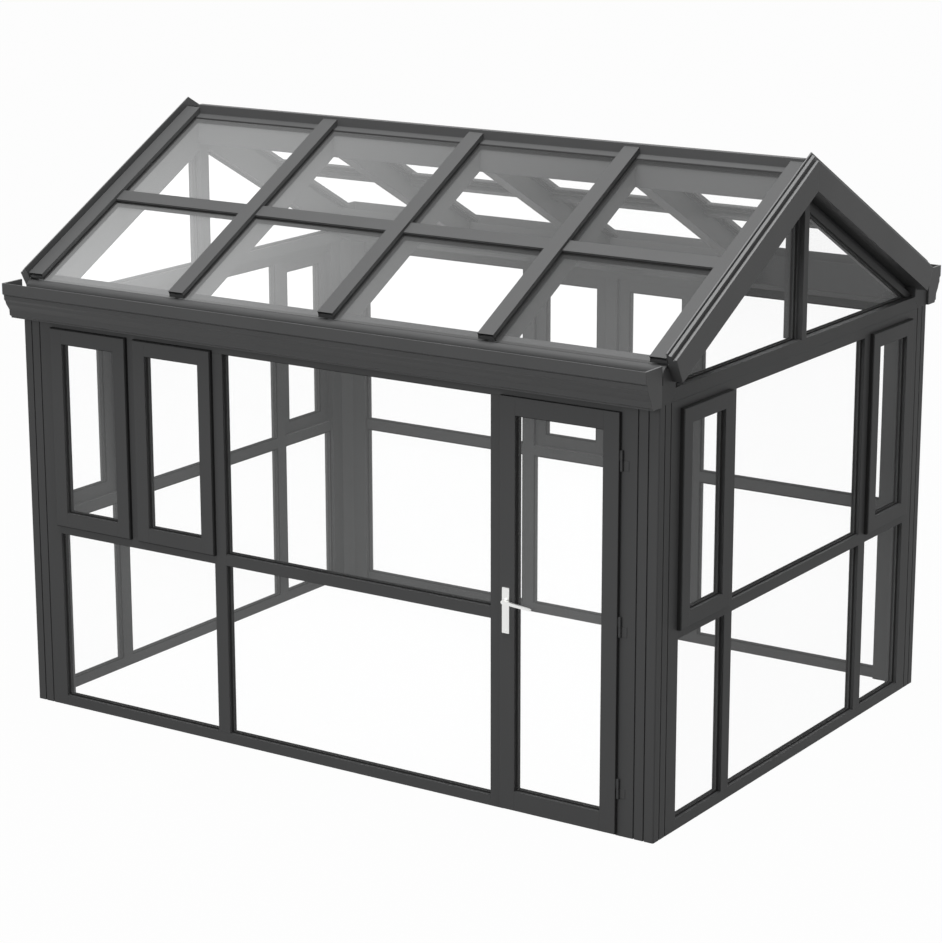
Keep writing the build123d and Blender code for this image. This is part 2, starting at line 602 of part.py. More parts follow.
def gable_bar():
    """The right gable's sloping bar over its front half, down to the sharp corner on the tie beam."""
    low, high = EAVES_BEAM_DEPTH, HALF_Y - FRAME_FACE / 2
    flange = gable_strip(UPPER_GLASS, VERGE_DROP, GABLE_DEPTH, 0)
    neck = gable_strip(VERGE_DROP, GABLE_NECK_DROP, GABLE_DEPTH, GABLE_GLASS_RECESS + GLASS_THICKNESS)
    outline = [(low, TIE_TOP), (low, roof_z(low, -GABLE_NECK_DROP)), (high, roof_z(high, -GABLE_NECK_DROP)),
               (high, roof_z(high, -GABLE_DROP)), (gable_corner(), TIE_TOP)]
    frame = section(outline, HALF_X - GABLE_DEPTH, HALF_X - GABLE_RECESS)
    web = on_slope(BAR_PLACES[-1] - BAR_WEB / 2, HALF_X - BAR_WALL, RIDGE_FLANGE, WEB_END,
                   -UPPER_GLASS, -BAR_WALL)
    return flange + neck + frame + web - gable_pane(grow=GLASS_EDGE_CLEARANCE)


def gable_pane(grow=0.0):
    """The front half of the right gable's glass, down to its sharp low corner."""
    edge = GLASS_BITE + grow
    high = HALF_Y - FRAME_FACE / 2 + edge
    outline = [(gable_corner(edge), TIE_TOP - edge), (high, TIE_TOP - edge),
               (high, roof_z(high, edge - GABLE_DROP))]
    return section(outline, HALF_X - GABLE_GLASS_RECESS - GLASS_THICKNESS, HALF_X - GABLE_GLASS_RECESS)


def verge():
    """The right gable's barge board over the front slope: three stepped fins, cut square at its foot."""
    o = VERGE_OVERHANG
    steps = [(0, -VERGE_DROP), (o, -VERGE_DROP), (o, -6), (o - 2, -2), (o - 12, 0), (o - 14, -7),
             (o - 22, -7), (o - 25, 17), (o - 40, 22), (o - 42, 14), (o - 43, 32), (o - 49, 34),
             (o - 51, 31), (o - 51, -BAR_HEIGHT), (0, -BAR_HEIGHT)]
    down_slope = (0, -math.cos(PITCH), -math.sin(PITCH))
    start = Plane(origin=(0, 0, ROOF_APEX), x_dir=(1, 0, 0), z_dir=down_slope).offset(-WIDTH)
    board = start * extrude(make_face(Polyline(*[(HALF_X + u, v) for u, v in steps], close=True)),
                            WIDTH + slope_run(VERGE_FOOT))
    header = block(0, LENGTH, -WIDTH, 0, 0, EAVES_BEAM_TOP)
    return board - header - RIDGE_CUT


def build():
    nodes = posts()
    nodes["front_base_rail"] = [FRONT * base_rail(FRONT_BAYS)]
    nodes["back_base_rail"] = [BACK * base_rail(BACK_BAYS)]
    nodes["side_base_rails"] = [frame * base_rail(SIDE_BAYS) for frame in (LEFT, RIGHT)]
    nodes["front_head_rail"] = [FRONT * head_rail(FRONT_BAYS)]
    nodes["back_head_rail"] = [BACK * head_rail(BACK_BAYS)]
    nodes["side_head_rails"] = [frame * head_rail(SIDE_BAYS) for frame in (LEFT, RIGHT)]
    for name, frames, wall in (("front", [FRONT], FRONT_BAYS), ("back", [BACK], BACK_BAYS),
                               ("side", [LEFT, RIGHT], SIDE_BAYS)):
        nodes[f"{name}_mid_rails"] = [frame * part for frame in frames for part in mid_rails(wall)]
        nodes[f"{name}_mullions"] = [frame * part for frame in frames for part in mullions(wall)]
        nodes[f"{name}_glass"] = [frame * part for frame in frames for part in fixed_panes(wall)]
    jamb = block(DOOR_LEFT - FRAME_FACE, DOOR_LEFT, 0, FRAME_DEPTH, 0, HEAD_HEIGHT)
    nodes["door_jamb"] = [FRONT * rebated(jamb, FRONT_BAYS)]
    nodes.update(sashes())
    stiles, rails, glass = door_leaf()
    nodes["door_stiles"] = [FRONT * part for part in stiles]
    nodes["door_rails"] = [FRONT * part for part in rails]
    nodes["door_glass"] = [FRONT * glass]
    nodes["door_hinges"] = [FRONT * hinge_moving(height) for height in HINGE_HEIGHTS]
    nodes["hinge_pins"] = [FRONT * hinge_fixed(height) for height in HINGE_HEIGHTS]
    nodes["handle_plates"] = [FRONT * handle_plate(outside) for outside in (True, False)]
    nodes["door_lever"] = [FRONT * lever()]
    nodes["eaves_beams"] = both_slopes([eaves_beam()])
    nodes["front_gutter"] = [gutter()]
    nodes["back_gutter"] = [mirror(gutter(), Plane.XZ)]
    nodes["tie_beams"] = both_gables([tie_beam()])
    nodes["king_posts"] = both_gables([king_post()])
    nodes["gable_bars"] = both_gables(both_slopes([gable_bar()]))
    nodes["gable_glass"] = both_gables(both_slopes([gable_pane()]))
    nodes["front_verges"] = both_gables([verge()])
    nodes["back_verges"] = both_gables([mirror(verge(), Plane.XZ)])
    nodes["ridge_beam"] = [ridge_beam()]
    nodes["ridge_cap"] = [ridge_cap()]
    inner = BAR_PLACES[1:-1]
    nodes["rafters"] = both_slopes([rafter(x) for x in inner])
    nodes["glazing_caps"] = both_slopes([glazing_cap(x) for x in BAR_PLACES])
    pairs = list(zip(BAR_PLACES, BAR_PLACES[1:]))
    nodes["roof_transoms"] = both_slopes([transom(x0, x1) for x0, x1 in pairs])
    nodes["roof_glass"] = both_slopes([part for x0, x1 in pairs for part in roof_panes(x0, x1)])
    return nodes


if __name__ == "__main__":
    for node, solids in build().items():
        export(node, solids)
        print(node, len(solids))
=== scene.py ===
# %% [markdown]
# # A glazed gable conservatory
# The building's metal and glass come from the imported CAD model. This lesson adds what the CAD
# leaves out: the camera, soft light, finishes, rubber seals, end plugs and small door fittings.
# The frame is loaded first, because every piece is placed from the nodes' own meshes and boxes.

# %% Load the frame
import bpy
import bmesh
import json
import math
from mathutils import Matrix, Vector


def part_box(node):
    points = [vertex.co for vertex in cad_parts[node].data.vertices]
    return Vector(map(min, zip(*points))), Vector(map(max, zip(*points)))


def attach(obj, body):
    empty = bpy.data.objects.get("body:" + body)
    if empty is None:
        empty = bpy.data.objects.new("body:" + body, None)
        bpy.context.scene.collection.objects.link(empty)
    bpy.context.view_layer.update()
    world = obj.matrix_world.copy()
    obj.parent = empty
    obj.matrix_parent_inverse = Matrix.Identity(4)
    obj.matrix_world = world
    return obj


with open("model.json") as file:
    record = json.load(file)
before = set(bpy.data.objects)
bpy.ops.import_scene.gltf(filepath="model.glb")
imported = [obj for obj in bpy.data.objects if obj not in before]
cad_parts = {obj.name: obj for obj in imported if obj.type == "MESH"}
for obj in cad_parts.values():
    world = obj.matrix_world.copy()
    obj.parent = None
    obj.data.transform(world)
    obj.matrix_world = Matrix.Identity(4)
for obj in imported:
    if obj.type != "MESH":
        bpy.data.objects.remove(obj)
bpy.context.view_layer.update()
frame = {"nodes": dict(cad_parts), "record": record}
nodes = frame["nodes"]

# %% [markdown]
# ## The camera
# The building was photographed from its front right, a little above the eaves, with a long lens.
# Its place could be found by eye, but a fit of the posts' corners and eaves gave it more closely.
# The sensor fits the picture's width, so that the lens keeps one meaning in every view.

# %% Camera
CAMERA_PLACE = Vector((8.66, -13.149, 5.386))
CAMERA_AZIMUTH, CAMERA_DROP, CAMERA_ROLL = (math.radians(angle) for angle in (33.524, 14.599, -0.074))
LENS_MM, SENSOR_MM = 111.357, 36.0
camera_data = bpy.data.cameras.new("camera")
camera_data.sensor_fit, camera_data.sensor_width, camera_data.lens = "HORIZONTAL", SENSOR_MM, LENS_MM
camera_data.clip_end = 1000.0
camera = bpy.data.objects.new("camera", camera_data)
bpy.context.scene.collection.objects.link(camera)
camera.matrix_world = (Matrix.Translation(CAMERA_PLACE) @ Matrix.Rotation(CAMERA_AZIMUTH, 4, "Z")
                       @ Matrix.Rotation(math.pi / 2 - CAMERA_DROP, 4, "X")
                       @ Matrix.Rotation(CAMERA_ROLL, 4, "Z"))
bpy.context.scene.camera = camera
print("camera at", tuple(camera.location))

# %% [markdown]
# ## Shader arithmetic
# A material's numbers are easier to read as sums than as wired boxes. One small class wraps a
# socket, so that `1 - mask` or `grain * 0.2` adds the Math nodes. Any other node comes from one
# method that is told the node's type, its settings and what feeds its sockets.

# %% Sockets as numbers, and a finish that grows its own nodes
class Wire:
    """An output socket that understands plus, minus and times."""

    def __init__(self, finish, socket):
        self.finish, self.socket = finish, socket

    def sum(self, operation, first, second):
        return self.finish.node("ShaderNodeMath", {"operation": operation}, {0: first, 1: second})

    def __add__(self, other):
        return self.sum("ADD", self, other)

    def __radd__(self, other):
        return self.sum("ADD", other, self)

    def __sub__(self, other):
        return self.sum("SUBTRACT", self, other)

    def __rsub__(self, other):
        return self.sum("SUBTRACT", other, self)

    def __mul__(self, other):
        return self.sum("MULTIPLY", self, other)

    def __rmul__(self, other):
        return self.sum("MULTIPLY", other, self)


class Finish:
    """One material, built from nodes."""

    def __init__(self, name):
        self.material = bpy.data.materials.new(name)
        self.material.use_nodes = True
        self.tree = self.material.node_tree
        self.tree.nodes.clear()

    def node(self, kind, settings=None, sockets=None, out=0):
        made = self.tree.nodes.new(kind)
        for key, value in (settings or {}).items():
            setattr(made, key, value)
        for key, value in (sockets or {}).items():
            if isinstance(value, Wire):
                self.tree.links.new(value.socket, made.inputs[key])
            else:
                made.inputs[key].default_value = value
        return Wire(self, made.outputs[out])

    def place(self, scale=(1, 1, 1)):
        """Object coordinates, stretched by scale, for a pattern that stays on the piece."""
        spot = self.node("ShaderNodeTexCoord", out=3)
        return self.node("ShaderNodeMapping", {}, {"Vector": spot, "Scale": scale})

    def noise(self, size, scale=(1, 1, 1), detail=2.0):
        """A cloudy pattern from 0 to 1 with lumps about size metres across."""
        return self.node("ShaderNodeTexNoise", {}, {"Vector": self.place(scale), "Scale": 1 / size,
                                                    "Detail": detail})

    def ramp(self, value, start, end, low=0.0, high=1.0):
        """Runs smoothly from low to high while value goes from start to end."""
        return self.node("ShaderNodeMapRange", {"interpolation_type": "SMOOTHSTEP"},
                         {0: value, 1: start, 2: end, 3: low, 4: high})

    def mix(self, share, first, second):
        """The first colour turning to the second as share goes from 0 to 1."""
        return self.node("ShaderNodeMix", {"data_type": "RGBA"},
                         {0: share, 6: [*first, 1], 7: [*second, 1]}, out=2)

    def surface(self, **sockets):
        """Ends the material in a Principled surface with these sockets."""
        names = {key.replace("_", " "): value for key, value in sockets.items()}
        shader = self.node("ShaderNodeBsdfPrincipled", {}, names)
        self.end(shader)
        return self.material

    def end(self, shader):
        last = self.tree.nodes.new("ShaderNodeOutputMaterial")
        self.tree.links.new(shader.socket, last.inputs["Surface"])


print("shader helpers ready")

# %% [markdown]
# ## Painted metal
# Every bar is aluminium in a satin anthracite powder coat. Such a coat is never quite even: it
# has a fine orange-peel skin and faint broad clouds. Both are noise, one in the bump and one in
# the colour and gloss. The Bevel node rounds the look of each sharp edge, so that edges catch a
# thin line of light as a real arris does, and the CAD mesh itself stays as it is. The gutter's
# coat also carries a painted highlight: its faces are paler where they look up, which the
# Object-space normal tells, standing in for the light of the sky on its rounded nose.

# %% Powder coat
ARRIS = 0.004
CLOUD_SIZE, PEEL_SIZE, PEEL_HEIGHT = 0.35, 0.0022, 0.001
TOP_LIGHT_STARTS, TOP_LIGHT_FULL = 0.35, 0.9


def powder_coat(name, grey, gloss=0.42, sheen=0.12, cloud=0.06, peel=0.05, painted_light=0.0):
    """Satin paint on metal, with a soft rounding of its edges and a painted highlight where it looks up."""
    coat = Finish(name)
    clouds = coat.noise(CLOUD_SIZE, (1, 1, 0.4), 3.0)
    skin = coat.noise(PEEL_SIZE, detail=1.0)
    share, paler = clouds, 2 * cloud + painted_light
    # Painted highlight: faces that look up are made paler, standing in for the light from above.
    if painted_light:
        facing = coat.node("ShaderNodeTexCoord", out=1)
        looks_up = coat.ramp(coat.node("ShaderNodeSeparateXYZ", {}, {0: facing}, 2), TOP_LIGHT_STARTS, TOP_LIGHT_FULL)
        share = clouds * (2 * cloud / paler) + looks_up * (painted_light / paler)
    shade = coat.mix(share, [channel * (1 - cloud) for channel in grey],
                     [channel * (1 - cloud + paler) for channel in grey])
    rounded = coat.node("ShaderNodeBevel", {"samples": 4}, {"Radius": ARRIS})
    bump = coat.node("ShaderNodeBump", {}, {"Strength": peel, "Distance": PEEL_HEIGHT, "Height": skin,
                                            "Normal": rounded})
    return coat.surface(Base_Color=shade, Roughness=clouds * 0.12 + gloss, Specular_IOR_Level=sheen,
                        Normal=bump)


ANTHRACITE = (0.062, 0.0625, 0.063)
finishes = {f"{part}_metal": powder_coat(f"{part}_coat", ANTHRACITE)
            for part in ("frame", "sash", "hinge")}
finishes["roof_metal"] = powder_coat("roof_coat", ANTHRACITE, sheen=0.16)
# The gutter gets the painted highlight on its upward faces.
finishes["gutter_metal"] = powder_coat("gutter_coat", ANTHRACITE, 0.36, 0.2, painted_light=1.0)
print("coats", len(finishes))

# %% [markdown]
# ## Glass
# All the glass is clear, so that the bars behind it show. A true refracting pane would need many
# light bounces, so each pane is a film that hides a small share of what is behind it. The wall
# glass has only a trace, with a small glow that stands in for the bright studio a pane mirrors.
# The front roof panes carry a pale veil, a painted reflection of the bright sky, with random
# patches, that grows to the left and the eaves. It comes from Object coordinates, so it stays on
# the panes in every view.

# %% Wall glass and roof glass
PANE_ROUGHNESS, PANE_SHEEN, STUDIO_GLOW = 0.06, 0.2, 0.4


def wall_glazing(name, tint, veil):
    """A clear pane with a trace of film on it."""
    pane = Finish(name)
    film = pane.noise(1.6, detail=1.0) * veil + veil / 2
    return pane.surface(Base_Color=[*tint, 1], Roughness=PANE_ROUGHNESS, Specular_IOR_Level=PANE_SHEEN,
                        Alpha=film, Emission_Color=[1, 1, 1, 1], Emission_Strength=STUDIO_GLOW)


def roof_glazing(name, tint, clear_veil, painted_reflection):
    """A clear pane whose painted reflection thickens towards the front left corner of the roof."""
    pane = Finish(name)
    across, along, up = (pane.node("ShaderNodeSeparateXYZ", {}, {0: pane.place()}, axis)
                         for axis in range(3))
    # Painted reflection: these ramps make the veil paler to the left, on the front slope and towards the
    # eaves.
    left, front = pane.ramp(across, 1.2, -2.2), pane.ramp(along, 0.05, -0.05)
    low = pane.ramp(up, 3.2, 2.3, 0.45)
    painted_light = pane.noise(0.9) * 0.3 + 0.85
    veil = left * front * low * painted_light * (painted_reflection - clear_veil) + clear_veil
    return pane.surface(Base_Color=[*tint, 1], Roughness=PANE_ROUGHNESS, Specular_IOR_Level=PANE_SHEEN,
                        Alpha=veil)


finishes["wall_glass"] = wall_glazing("wall_glass", (0.95, 0.97, 0.97), 0.032)
finishes["roof_glass"] = roof_glazing("roof_glass", (0.95, 0.96, 0.96), 0.034, 0.15)
print("glass finishes ready")

# %% [markdown]
# ## Rubber, plated metal and the CAD nodes' finishes
# Glazing rubber is black and dull with a fine grain. The lever and its plates are satin nickel,
# brushed along their length, so the grain noise is stretched upwards. With these, every node of
# the CAD model takes the finish of the slot that the record names.

# %% Rubber, nickel, and dressing the nodes
def rubber(name, grey):
    seal = Finish(name)
    grain = seal.noise(0.0015, detail=2.0)
    bump = seal.node("ShaderNodeBump", {}, {"Strength": 0.15, "Distance": 0.0005, "Height": grain})
    return seal.surface(Base_Color=seal.mix(grain, [grey * 0.8] * 3, [grey * 1.2] * 3),
                        Roughness=grain * 0.2 + 0.6, Specular_IOR_Level=0.25, Normal=bump)


def satin_nickel(name, grey, roughness):
    metal = Finish(name)
    brushed = metal.noise(0.0012, (1, 1, 0.08), 2.0)
    bump = metal.node("ShaderNodeBump", {}, {"Strength": 0.06, "Distance": 0.0004, "Height": brushed})
    return metal.surface(Base_Color=metal.mix(brushed, [g * 0.94 for g in grey], grey), Metallic=0.85,
                         Roughness=brushed * 0.12 + roughness, Normal=bump)


EPDM = rubber("glazing_rubber", 0.008)
finishes["handle_metal"] = satin_nickel("handle_satin", (0.80, 0.80, 0.79), 0.3)
for row in frame["record"]["subparts"]:
    mesh = nodes[row["node"]].data
    mesh.materials.clear()
    mesh.materials.append(finishes[row["material_slot"]])
print("finishes", len(finishes))

# %% [markdown]
# ## Finding the panes
# Each pane needs rubber along its edges. The panes could be listed again by hand, but the CAD
# already holds them: a merged copy of a glass node, with its flat triangles dissolved, has two
# broad faces for each pane. Their corners and normals are all that the seals need.

# %% Broad faces of a glass node
BROAD = 0.05


def broad_faces(name):
    """The corners and outward normal of each broad pane face in a CAD node."""
    solid = bmesh.new()
    solid.from_mesh(nodes[name].data)
    bmesh.ops.remove_doubles(solid, verts=solid.verts, dist=1e-5)
    bmesh.ops.dissolve_limit(solid, angle_limit=0.02, verts=solid.verts, edges=solid.edges)
    found = [([vert.co.copy() for vert in face.verts], face.normal.copy()) for face in solid.faces
             if min(edge.calc_length() for edge in face.edges) > BROAD]
    solid.free()
    return found


WALL_NODES = ("front_glass", "back_glass", "side_glass", "sash_glass")
print("wall pane faces", sum(len(broad_faces(name)) for name in WALL_NODES))

# %% [markdown]
# ## Making a piece from a mesh
# Every new piece goes the same way: a bmesh is shaped, its normals are made to point outwards,
# and it becomes an object at the origin that rides on one body of the CAD model. A seal is a
# picture-frame ring: the pane's outline is inset, the middle is deleted and the rim extruded.

# %% Piece and seal ring
def piece(name, mesh, finish, body="frame"):
    """Turns a bmesh into a finished object that rides on a body."""
    bmesh.ops.recalc_face_normals(mesh, faces=mesh.faces)
    data = bpy.data.meshes.new(name)
    mesh.to_mesh(data)
    mesh.free()
    data.materials.append(finish)
    made = bpy.data.objects.new(name, data)
    bpy.context.scene.collection.objects.link(made)
    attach(made, body)
    print(name, len(data.polygons), "faces")
    return made


def inset(mesh, face, thickness):
    """Insets one face and returns the rim around it."""
    return bmesh.ops.inset_region(mesh, faces=[face], thickness=thickness, use_boundary=True,
                                  use_even_offset=True)["faces"]


def soften(mesh, edges, radius):
    bmesh.ops.bevel(mesh, geom=edges, offset=radius, offset_type="OFFSET", segments=2, profile=0.5,
                    affect="EDGES", material=-1)


def vertices_of(parts):
    return [part for part in parts if isinstance(part, bmesh.types.BMVert)]


def seal_ring(mesh, corners, rise, width, hidden=0.0, radius=0.0015):
    """A rounded ring inside an outline, past its hidden edge, raised by a vector."""
    face = mesh.faces.new([mesh.verts.new(corner) for corner in corners])
    face.normal_update()
    buried = inset(mesh, face, hidden) if hidden else []
    rim = inset(mesh, face, width)
    bmesh.ops.delete(mesh, geom=buried + [face], context="FACES")
    raised = bmesh.ops.extrude_face_region(mesh, geom=rim)["geom"]
    bmesh.ops.translate(mesh, vec=rise, verts=vertices_of(raised))
    if radius:
        top = {part for part in raised if isinstance(part, bmesh.types.BMEdge)}
        soften(mesh, [edge for edge in top if edge.is_valid], radius)


# %% [markdown]
# ## Wall, sash and door gaskets
# A strip of rubber holds each pane on both faces, and shows as a fine black line around the
# glass. The frames hide 12 mm of each pane. The outer strip is fuller than the inner one, which
# sits in the shallow rebate behind. The door's strips ride on the door.

# %% Gaskets of the walls, sashes and door
BITE = 0.012
GASKET_WIDTH, GASKET_OUTER, GASKET_INNER = 0.008, 0.006, 0.004


def gaskets(names):
    """Rubber rings on both faces of every pane in these nodes."""
    mesh = bmesh.new()
    for name in names:
        for corners, normal in broad_faces(name):
            middle = sum(corners, Vector()) / len(corners)
            outside = normal.dot(Vector((middle.x, middle.y, 0))) > 0
            rise = normal * (GASKET_OUTER if outside else GASKET_INNER)
            seal_ring(mesh, corners, rise, GASKET_WIDTH, BITE)
    return mesh


piece("wall_gaskets", gaskets(WALL_NODES), EPDM)
piece("door_gaskets", gaskets(["door_glass"]), EPDM, "door")
piece("gable_gaskets", gaskets(["gable_glass"]), EPDM)

# %% [markdown]
# ## Weather seals
# The sashes and the door lap over the frame, and a rubber lip closes the step. From the side it
# is the black line beside each leaf. A sash is as wide all round, so its outline is its pane's,
# grown by the stile; the door's comes from its stiles' box. The door's lip is a thin strip on the
# leaf's edge, so that it clears the hinges.

# %% Weather seals around the leaves
SASH_MARGIN, SASH_LIP, SASH_LIP_RISE = 0.066, 0.005, 0.019
DOOR_LIP, DOOR_LIP_RISE, DOOR_LIP_BACK = 0.0012, 0.014, 0.018


def grown(corners, margin):
    """An upright rectangle's corners, moved outwards in its own plane."""
    middle = sum(corners, Vector()) / len(corners)
    away = [corner - middle for corner in corners]
    return [corner + Vector([math.copysign(margin, part) if abs(part) > 1e-6 else 0 for part in step])
            for corner, step in zip(corners, away)]


mesh = bmesh.new()
for corners, normal in broad_faces("sash_glass"):
    middle = sum(corners, Vector()) / len(corners)
    if normal.dot(Vector((middle.x, middle.y, 0))) > 0:
        seal_ring(mesh, grown(corners, SASH_MARGIN + SASH_LIP), normal * SASH_LIP_RISE, SASH_LIP)
piece("sash_weather_seals", mesh, EPDM)

low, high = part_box("door_stiles")
edge = low.y + DOOR_LIP_BACK
mesh = bmesh.new()
leaf = [Vector((x, edge, z)) for x, z in ((low.x, low.z), (high.x, low.z), (high.x, high.z),
                                          (low.x, high.z))]
seal_ring(mesh, grown(leaf, DOOR_LIP), Vector((0, -DOOR_LIP_RISE, 0)), DOOR_LIP, radius=0)
piece("door_weather_seal", mesh, EPDM, "door")

# %% [markdown]
# ## The roof's own frame
# The roof slopes at 28.3 degrees. Its strips are easiest to draw flat: x along the eaves, y up
# the slope, z out of it. One matrix then lays them on the front slope, and a mirrored copy serves
# the back slope. A strip is a small profile drawn out along a straight line.

# %% Drawing strips on the slopes
PITCH = math.radians(28.3)
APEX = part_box("ridge_cap")[1].z - 0.002
ON_SLOPE = Matrix.Translation((0, 0, APEX)) @ Matrix.Rotation(PITCH, 4, "X")
CAP_HALF, CAP_FOOT, GLASS_TOP = 0.0465, 1.6165, -0.036
CAP_STEP = 2 * (2.0 - CAP_HALF) / 4
CAP_PLACES = [CAP_STEP * index for index in range(-2, 3)]


def draw_out(mesh, profile, travel):
    """A closed profile of points drawn out along a straight line."""
    face = mesh.faces.new([mesh.verts.new(point) for point in profile])
    moved = bmesh.ops.extrude_face_region(mesh, geom=[face])["geom"]
    bmesh.ops.translate(mesh, vec=travel, verts=vertices_of(moved))


def on_both_slopes(mesh):
    """Lays a flat drawing on the front slope and mirrors it to the back one."""
    bmesh.ops.transform(mesh, matrix=ON_SLOPE, verts=mesh.verts)
    copy = bmesh.ops.duplicate(mesh, geom=mesh.verts[:] + mesh.edges[:] + mesh.faces[:])["geom"]
    bmesh.ops.scale(mesh, vec=(1, -1, 1), verts=vertices_of(copy))
    return mesh


print("caps at", [round(place, 3) for place in CAP_PLACES], "apex", round(APEX, 4))

# %% [markdown]
# ## Glazing rubber on the roof
# Each cap presses its panes through a black gasket that shows below the cap's side and spreads
# as a lip on the glass. The cross bars and the ridge's flange have smaller ones. The lip's
# profile is the same everywhere: a thin upright part and a sloping foot. The caps at the two
# verges have a gasket on their inner side only, since the verge boards cover the other.

# %% Cap, cross-bar and ridge gaskets
CAP_LIP = [(0, 0.0155), (0.0025, 0.015), (0.003, 0.005), (0.008, 0.0015), (0.008, 0), (0, 0)]
BAR_LIP = [(0, 0.009), (0.002, 0.0085), (0.0025, 0.004), (0.007, 0.0015), (0.007, 0), (0, 0)]
FLANGE_LIP = [(-0.001, 0.003), (0.003, 0.003), (0.007, 0.001), (0.007, 0), (0, 0)]
CAP_START, BAR_UPPER, BAR_LOWER, FLANGE_EDGE = 0.084, 0.8175, 0.9025, 0.0818
VERGE_INSIDE = 1.99

mesh = bmesh.new()
for place in CAP_PLACES:
    for side in (-1, 1):
        cap_side = place + side * CAP_HALF
        if abs(cap_side) < VERGE_INSIDE:
            profile = [(cap_side + side * out, -CAP_START, GLASS_TOP + up) for out, up in CAP_LIP]
            draw_out(mesh, profile, (0, CAP_START - CAP_FOOT, 0))
for left, right in zip(CAP_PLACES, CAP_PLACES[1:]):
    start, travel = left + CAP_HALF, (right - left - 2 * CAP_HALF, 0, 0)
    for edge, side, lip in ((BAR_UPPER, -1, BAR_LIP), (BAR_LOWER, 1, BAR_LIP),
                            (FLANGE_EDGE, 1, FLANGE_LIP)):
        draw_out(mesh, [(start, -edge - side * out, GLASS_TOP + up) for out, up in lip], travel)
piece("roof_gaskets", on_both_slopes(mesh), EPDM)

# %% [markdown]
# ## The dark edge of the roof panes
# Each roof pane has a dark band, 42 mm wide, along its edges. Through the glass it shows beside
# each bar and under the ridge. It is a thin ring just inside the pane's lower face, so that it
# shows from above and from below.

# %% Edge bands
BAND_WIDTH, BAND_DEPTH, BAND_INSIDE = 0.042, 0.0012, 0.0004
DARK_BAND_FINISH = rubber("dark_band_finish", 0.022)
mesh = bmesh.new()
for corners, normal in broad_faces("roof_glass"):
    if normal.z < 0:
        inside = [corner - normal * BAND_INSIDE for corner in corners]
        seal_ring(mesh, inside, -normal * BAND_DEPTH, BAND_WIDTH, radius=0)
piece("pane_edge_bands", mesh, DARK_BAND_FINISH)

# %% [markdown]
# ## The feet of the caps
# At the eaves each cap ends open. A black foam block closes it against insects, set back a
# little, and a small metal stop fills its lower half. Both are drawn on the slope as well.

# %% Foam blocks and end stops
STOP_PROFILE = [(-0.0435, 0), (0.0435, 0), (0.0435, 0.015), (0.0415, 0.017), (-0.0415, 0.017),
                (-0.0435, 0.015)]
FOAM_PROFILE = [(-0.0432, 0), (0.0432, 0), (0.0432, 0.0325), (-0.0432, 0.0325)]
FOAM_START, FOAM_LENGTH, STOP_START, STOP_LENGTH = 1.59, 0.008, 1.606, 0.0105
foam, stops = bmesh.new(), bmesh.new()
for place in CAP_PLACES:
    for mesh, profile, start, length in ((foam, FOAM_PROFILE, FOAM_START, FOAM_LENGTH),
                                         (stops, STOP_PROFILE, STOP_START, STOP_LENGTH)):
        draw_out(mesh, [(place + x, -start, GLASS_TOP + up) for x, up in profile], (0, -length, 0))
piece("cap_foam", on_both_slopes(foam), EPDM)
piece("cap_end_stops", on_both_slopes(stops), finishes["roof_metal"])

# %% [markdown]
# ## Small fittings of the door
# A turned part is a half section spun about its axis. The lever has a collar where its neck
# leaves the plate, and turns with it, so its place comes from the lever's joint. Two screws hold
# each plate. The hinge pins end in shallow domes: the upper knuckles turn with the door and the
# lower ones stay on the post.

# %% Turned fittings
COLLAR = [(0.0092, 0), (0.0125, 0), (0.0125, 0.003), (0.0115, 0.0042), (0.0092, 0.0045)]
SCREW = [(0, 0.0004), (0.0012, 0.0004), (0.0018, 0.0013), (0.0034, 0.0013), (0.0042, 0.0004),
         (0.0042, -0.001), (0, -0.001)]
DOME = [(0, 0.0034), (0.003, 0.003), (0.0052, 0.0018), (0.0065, 0), (0.0065, -0.001), (0, -0.001)]


def turned(mesh, profile, place, direction, steps=24):
    """Spins a half section of radius and height about a direction through a place."""
    axis = Vector(direction)
    across = axis.orthogonal().normalized()
    verts = [mesh.verts.new(Vector(place) + across * radius + axis * height)
             for radius, height in profile]
    closed = profile[0][0] > 0
    edges = [mesh.edges.new(pair) for pair in zip(verts, verts[1:] + (verts[:1] if closed else []))]
    bmesh.ops.spin(mesh, geom=verts + edges, cent=place, axis=axis, angle=2 * math.pi, steps=steps,
                   use_merge=True)
    bmesh.ops.remove_doubles(mesh, verts=mesh.verts, dist=1e-6)


COLLAR_STEPS, SCREW_FROM_END = 40, 0.014
joints = {row["name"]: Vector(row["pos_m"]) for row in frame["record"]["behaviour"]["joints"]}
spindle, (low, high) = joints["lever_turn"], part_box("handle_plates")
mesh = bmesh.new()
turned(mesh, COLLAR, (spindle.x, low.y, spindle.z), (0, -1, 0), COLLAR_STEPS)
piece("lever_collar", mesh, finishes["handle_metal"], "lever")

mesh = bmesh.new()
for height in (low.z + SCREW_FROM_END, high.z - SCREW_FROM_END):
    for depth, facing in ((low.y, -1), (high.y, 1)):
        turned(mesh, SCREW, ((low.x + high.x) / 2, depth, height), (0, facing, 0))
piece("plate_screws", mesh, finishes["handle_metal"], "door")

KNUCKLE_RADIUS, KNUCKLE_REACH = 0.0065, 0.05
low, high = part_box("door_hinges")
HINGE_X, HINGE_Y = high.x - KNUCKLE_RADIUS, (low.y + high.y) / 2
HINGE_HEIGHTS = (low.z, (low.z + high.z - KNUCKLE_REACH) / 2, high.z - KNUCKLE_REACH)
for name, body, facing in (("hinge_domes_upper", "door", 1), ("hinge_domes_lower", "frame", -1)):
    mesh = bmesh.new()
    for height in HINGE_HEIGHTS:
        turned(mesh, DOME, (HINGE_X, HINGE_Y, height + facing * KNUCKLE_REACH), (0, 0, facing))
    piece(name, mesh, finishes["hinge_metal"], body)

# %% [markdown]
# ## Light and floor
# A studio lights such a model from a large soft box overhead and a dimmer room. The floor is
# pale and wide. To a camera ray it is almost pure white, as in a cut-out picture, but it keeps
# a trace of the shadow, so that the building stands on something.

